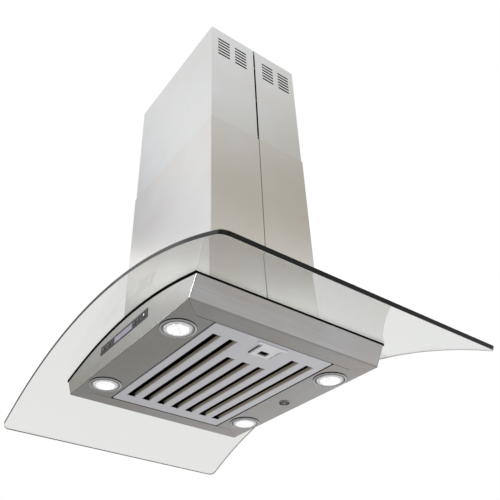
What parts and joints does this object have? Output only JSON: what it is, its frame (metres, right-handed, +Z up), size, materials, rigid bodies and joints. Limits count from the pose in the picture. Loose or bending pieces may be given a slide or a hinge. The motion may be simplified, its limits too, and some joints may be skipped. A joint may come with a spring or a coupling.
{
  "type": "island range hood",
  "caption": "Island range hood: steel chimney covers over a bent glass canopy, a body with a baffle filter, lamps and push keys, hung from a ceiling bracket.",
  "frame": {"origin": "centre of the ceiling bracket, in the plane of the ceiling", "axes": "+Z up into the ceiling, -Y towards the side with the controls, +X to the right seen from there"},
  "size_m": [0.9, 0.6, 0.9414],
  "materials": {
    "cover_steel": "fine brushed",
    "body_steel": "fine brushed",
    "galvanised_sheet": "galvanised",
    "zinc_steel": "zinc plated",
    "filter_aluminium": "satin",
    "latch_steel": "satin",
    "canopy_glass": "polished, bent, toughened",
    "seal_rubber": "matt",
    "impeller_aluminium": "bare sheet",
    "motor_paint": "satin black",
    "white_plastic": "moulded",
    "black_plastic": "moulded",
    "lamp_aluminium": "die cast",
    "ring_steel": "satin",
    "lens_frosted": "frosted, lit",
    "fascia_panel": "smoked, polished",
    "display_plastic": "clear over grey",
    "board_green": "lacquered",
    "key_steel": "metal coated",
    "key_lit": "clear, lit"
  },
  "bodies": {
    "hood": {"ceiling_bracket": "galvanised_sheet", "upper_uprights": "galvanised_sheet", "lower_uprights": "galvanised_sheet", "frame_bolts": "zinc_steel", "blower_box": "galvanised_sheet", "scroll_wrap": "galvanised_sheet", "scroll_side_left": "galvanised_sheet", "scroll_side_right": "galvanised_sheet", "outlet_transition": "galvanised_sheet", "outlet_collar": "galvanised_sheet", "damper_pin": "zinc_steel", "motor": "motor_paint", "motor_bracket": "galvanised_sheet", "motor_capacitor": "white_plastic", "terminal_box": "black_plastic", "cable_gland": "black_plastic", "lower_cover_front": "cover_steel", "lower_cover_back": "cover_steel", "glass_canopy": "canopy_glass", "glass_seal": "seal_rubber", "stud_bushes": "seal_rubber", "stud_nuts": "zinc_steel", "top_deck": "galvanised_sheet", "front_panel": "body_steel", "rear_panel": "body_steel", "left_end_panel": "body_steel", "right_end_panel": "body_steel", "lamp_ring_1": "ring_steel", "lamp_ring_2": "ring_steel", "lamp_ring_3": "ring_steel", "lamp_ring_4": "ring_steel", "lamp_lens_1": "lens_frosted", "lamp_lens_2": "lens_frosted", "lamp_lens_3": "lens_frosted", "lamp_lens_4": "lens_frosted", "lamp_cans": "lamp_aluminium", "lamp_driver": "white_plastic", "panel_plug": "ring_steel", "control_fascia": "fascia_panel", "display_window": "display_plastic", "control_board": "board_green"},
    "upper_cover": {"upper_cover_front": "cover_steel", "upper_cover_back": "cover_steel", "upper_cover_screws": "zinc_steel"},
    "filter": {"filter_plate": "filter_aluminium", "filter_baffles": "filter_aluminium", "latch_housing": "filter_aluminium", "latch_spring": "zinc_steel"},
    "filter_latch": {"filter_latch": "latch_steel"},
    "impeller": {"impeller_disc": "impeller_aluminium", "impeller_blades": "impeller_aluminium", "impeller_rings": "impeller_aluminium", "motor_shaft": "zinc_steel"},
    "damper_flap_front": {"damper_flap_front": "impeller_aluminium"},
    "damper_flap_rear": {"damper_flap_rear": "impeller_aluminium"},
    "key_1": {"key_1": "key_steel"},
    "key_2": {"key_2": "key_steel"},
    "key_3": {"key_3": "key_steel"},
    "key_4": {"key_4": "key_steel"},
    "key_5": {"key_5": "key_lit"}
  },
  "joints": [
    {"name": "upper_cover_slide", "type": "slide", "parent": "hood", "child": "upper_cover", "axis": [0, 0, -1], "range_m": [0, 0.3]},
    {"name": "filter_swing", "type": "hinge", "parent": "hood", "child": "filter", "pos_m": [-0.1985, 0, -0.9105], "axis": [0, 1, 0], "range_deg": [0, 75]},
    {"name": "filter_latch_slide", "type": "slide", "parent": "filter", "child": "filter_latch", "axis": [-1, 0, 0], "range_m": [0, 0.006], "stiffness_N_per_m": 400, "springref_m": -0.004, "deforming": ["latch_spring"]},
    {"name": "impeller_spin", "type": "hinge", "parent": "hood", "child": "impeller", "pos_m": [0, 0.008, -0.727], "axis": [1, 0, 0], "continuous": true},
    {"name": "damper_front_swing", "type": "hinge", "parent": "hood", "child": "damper_flap_front", "pos_m": [0, -0.02, -0.569], "axis": [1, 0, 0], "range_deg": [-80, 0]},
    {"name": "damper_rear_swing", "type": "hinge", "parent": "hood", "child": "damper_flap_rear", "pos_m": [0, -0.02, -0.569], "axis": [1, 0, 0], "range_deg": [0, 80]},
    {"name": "key_1_press", "type": "slide", "parent": "hood", "child": "key_1", "axis": [0, 1, 0], "range_m": [0, 0.001], "stiffness_N_per_m": 300, "springref_m": -0.001},
    {"name": "key_2_press", "type": "slide", "parent": "hood", "child": "key_2", "axis": [0, 1, 0], "range_m": [0, 0.001], "stiffness_N_per_m": 300, "springref_m": -0.001},
    {"name": "key_3_press", "type": "slide", "parent": "hood", "child": "key_3", "axis": [0, 1, 0], "range_m": [0, 0.001], "stiffness_N_per_m": 300, "springref_m": -0.001},
    {"name": "key_4_press", "type": "slide", "parent": "hood", "child": "key_4", "axis": [0, 1, 0], "range_m": [0, 0.001], "stiffness_N_per_m": 300, "springref_m": -0.001},
    {"name": "key_5_press", "type": "slide", "parent": "hood", "child": "key_5", "axis": [0, 1, 0], "range_m": [0, 0.001], "stiffness_N_per_m": 300, "springref_m": -0.001}
  ]
}
